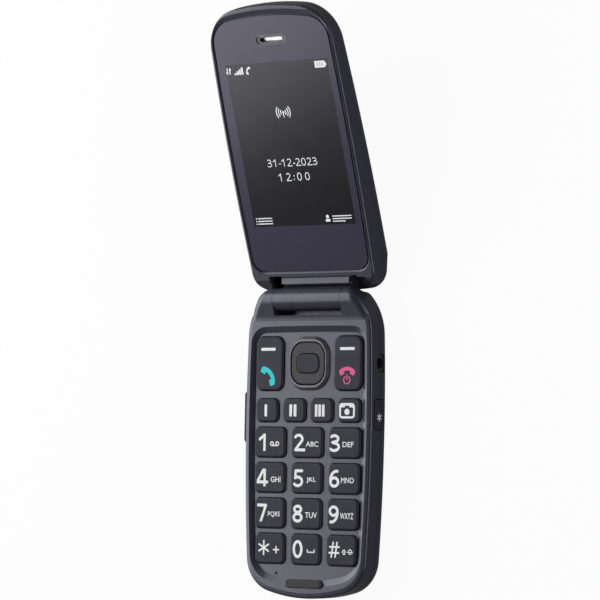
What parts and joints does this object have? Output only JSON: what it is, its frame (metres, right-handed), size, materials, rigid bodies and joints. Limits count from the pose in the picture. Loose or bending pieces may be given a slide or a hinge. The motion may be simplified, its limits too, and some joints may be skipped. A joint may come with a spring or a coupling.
{
  "type": "flip phone",
  "caption": "Mobile phone with a hinged lid, open: display and camera in the lid, keypad, navigation pad and battery in the base.",
  "frame": {"origin": "middle of the base's flat back, which the phone rests on", "axes": "+X to the phone's right, +Y from the keypad towards the hinge, +Z out of the keypad"},
  "size_m": [0.0548, 0.2007, 0.0392],
  "materials": {
    "case_plastic": "fine satin grey-black paint",
    "key_plastic": "satin dark grey with printed marks",
    "nav_trim": "satin silver-grey plating",
    "nav_plastic": "satin dark grey",
    "bumper_rubber": "matt",
    "window_plastic": "glossy tinted panel",
    "display_panel": "dark display, off",
    "inner_plastic": "matt black",
    "lens_plastic": "clear tinted",
    "torch_lens": "clear milky",
    "board_green": "green solder mask",
    "foil": "white foil with metal domes",
    "silicone": "translucent silicone",
    "metal": "bare steel",
    "gold": "plated contacts",
    "battery_case": "black sleeve",
    "flex": "amber polyimide film"
  },
  "bodies": {
    "base": {"base_front_case": "case_plastic", "base_rear_case": "case_plastic", "nav_trim_ring": "nav_trim", "lid_bumper": "bumper_rubber", "battery": "battery_case", "base_screws": "metal", "main_board": "board_green", "key_dome_sheet": "foil", "keypad_membrane": "silicone", "sim_card_holder": "metal", "battery_contacts": "gold", "loudspeaker": "inner_plastic", "vibration_motor": "metal", "microphone": "metal", "antenna_strip": "gold", "usb_socket": "metal", "headset_socket": "inner_plastic", "hinge_cam": "metal", "hinge_shaft": "metal", "hinge_bush": "inner_plastic", "base_flex": "flex"},
    "battery_cover": {"battery_cover": "case_plastic"},
    "lid": {"lid_front_frame": "case_plastic", "lid_rear_shell": "case_plastic", "display_window": "window_plastic", "display_module": "display_panel", "earpiece_grille": "nav_trim", "earpiece_receiver": "metal", "lid_board": "board_green", "camera_module": "inner_plastic", "camera_window": "lens_plastic", "torch_led": "torch_lens", "hinge_sleeve": "metal", "hinge_follower": "metal", "hinge_spring": "metal", "lid_flex": "flex", "lid_screws": "metal"},
    "key_1": {"key_1": "key_plastic"},
    "key_2": {"key_2": "key_plastic"},
    "key_3": {"key_3": "key_plastic"},
    "key_4": {"key_4": "key_plastic"},
    "key_5": {"key_5": "key_plastic"},
    "key_6": {"key_6": "key_plastic"},
    "key_7": {"key_7": "key_plastic"},
    "key_8": {"key_8": "key_plastic"},
    "key_9": {"key_9": "key_plastic"},
    "key_star": {"key_star": "key_plastic"},
    "key_0": {"key_0": "key_plastic"},
    "key_hash": {"key_hash": "key_plastic"},
    "memory_key_1": {"memory_key_1": "key_plastic"},
    "memory_key_2": {"memory_key_2": "key_plastic"},
    "memory_key_3": {"memory_key_3": "key_plastic"},
    "camera_key": {"camera_key": "key_plastic"},
    "ok_key": {"ok_key": "key_plastic"},
    "left_rocker_key": {"left_rocker_key": "key_plastic"},
    "right_rocker_key": {"right_rocker_key": "key_plastic"},
    "nav_plate": {"nav_plate": "metal"},
    "nav_pad": {"nav_pad": "nav_plastic"},
    "volume_rocker": {"volume_rocker": "key_plastic"},
    "torch_key": {"torch_key": "key_plastic"}
  },
  "joints": [
    {"name": "lid_hinge", "type": "hinge", "parent": "base", "child": "lid", "pos_m": [0, 0.0488, 0.0089], "axis": [1, 0, 0], "range_deg": [0, 161.2]},
    {"name": "battery_cover_off", "type": "slide", "parent": "base", "child": "battery_cover", "axis": [0, 0, -1], "range_m": [0, 0.02]},
    {"name": "key_1_press", "type": "slide", "parent": "base", "child": "key_1", "axis": [0, 0, -1], "range_m": [0, 0.0003], "stiffness_N_per_m": 1500},
    {"name": "key_2_press", "type": "slide", "parent": "base", "child": "key_2", "axis": [0, 0, -1], "range_m": [0, 0.0003], "stiffness_N_per_m": 1500},
    {"name": "key_3_press", "type": "slide", "parent": "base", "child": "key_3", "axis": [0, 0, -1], "range_m": [0, 0.0003], "stiffness_N_per_m": 1500},
    {"name": "key_4_press", "type": "slide", "parent": "base", "child": "key_4", "axis": [0, 0, -1], "range_m": [0, 0.0003], "stiffness_N_per_m": 1500},
    {"name": "key_5_press", "type": "slide", "parent": "base", "child": "key_5", "axis": [0, 0, -1], "range_m": [0, 0.0003], "stiffness_N_per_m": 1500},
    {"name": "key_6_press", "type": "slide", "parent": "base", "child": "key_6", "axis": [0, 0, -1], "range_m": [0, 0.0003], "stiffness_N_per_m": 1500},
    {"name": "key_7_press", "type": "slide", "parent": "base", "child": "key_7", "axis": [0, 0, -1], "range_m": [0, 0.0003], "stiffness_N_per_m": 1500},
    {"name": "key_8_press", "type": "slide", "parent": "base", "child": "key_8", "axis": [0, 0, -1], "range_m": [0, 0.0003], "stiffness_N_per_m": 1500},
    {"name": "key_9_press", "type": "slide", "parent": "base", "child": "key_9", "axis": [0, 0, -1], "range_m": [0, 0.0003], "stiffness_N_per_m": 1500},
    {"name": "key_star_press", "type": "slide", "parent": "base", "child": "key_star", "axis": [0, 0, -1], "range_m": [0, 0.0003], "stiffness_N_per_m": 1500},
    {"name": "key_0_press", "type": "slide", "parent": "base", "child": "key_0", "axis": [0, 0, -1], "range_m": [0, 0.0003], "stiffness_N_per_m": 1500},
    {"name": "key_hash_press", "type": "slide", "parent": "base", "child": "key_hash", "axis": [0, 0, -1], "range_m": [0, 0.0003], "stiffness_N_per_m": 1500},
    {"name": "memory_key_1_press", "type": "slide", "parent": "base", "child": "memory_key_1", "axis": [0, 0, -1], "range_m": [0, 0.0003], "stiffness_N_per_m": 1500},
    {"name": "memory_key_2_press", "type": "slide", "parent": "base", "child": "memory_key_2", "axis": [0, 0, -1], "range_m": [0, 0.0003], "stiffness_N_per_m": 1500},
    {"name": "memory_key_3_press", "type": "slide", "parent": "base", "child": "memory_key_3", "axis": [0, 0, -1], "range_m": [0, 0.0003], "stiffness_N_per_m": 1500},
    {"name": "camera_key_press", "type": "slide", "parent": "base", "child": "camera_key", "axis": [0, 0, -1], "range_m": [0, 0.0003], "stiffness_N_per_m": 1500},
    {"name": "ok_key_press", "type": "slide", "parent": "base", "child": "ok_key", "axis": [0, 0, -1], "range_m": [0, 0.0003], "stiffness_N_per_m": 1500},
    {"name": "torch_key_press", "type": "slide", "parent": "base", "child": "torch_key", "axis": [-1, 0, 0], "range_m": [0, 0.0003], "stiffness_N_per_m": 1500},
    {"name": "left_rocker_key_tilt", "type": "hinge", "parent": "base", "child": "left_rocker_key", "pos_m": [-0.01655, 0.02687, 0.0084], "axis": [1, 0, 0], "range_deg": [-2, 2], "stiffness_Nm_per_rad": 0.05},
    {"name": "right_rocker_key_tilt", "type": "hinge", "parent": "base", "child": "right_rocker_key", "pos_m": [0.01655, 0.02687, 0.0084], "axis": [1, 0, 0], "range_deg": [-2, 2], "stiffness_Nm_per_rad": 0.05},
    {"name": "nav_pad_up_down", "type": "hinge", "parent": "base", "child": "nav_plate", "pos_m": [0, 0.02687, 0.008], "axis": [1, 0, 0], "range_deg": [-2, 2], "stiffness_Nm_per_rad": 0.04},
    {"name": "nav_pad_left_right", "type": "hinge", "parent": "nav_plate", "child": "nav_pad", "pos_m": [0, 0.02687, 0.008], "axis": [0, 1, 0], "range_deg": [-2, 2], "stiffness_Nm_per_rad": 0.04},
    {"name": "volume_rocker_tilt", "type": "hinge", "parent": "base", "child": "volume_rocker", "pos_m": [-0.0248, 0.00855, 0.0056], "axis": [0, 0, 1], "range_deg": [-1.5, 1.5], "stiffness_Nm_per_rad": 0.05}
  ]
}
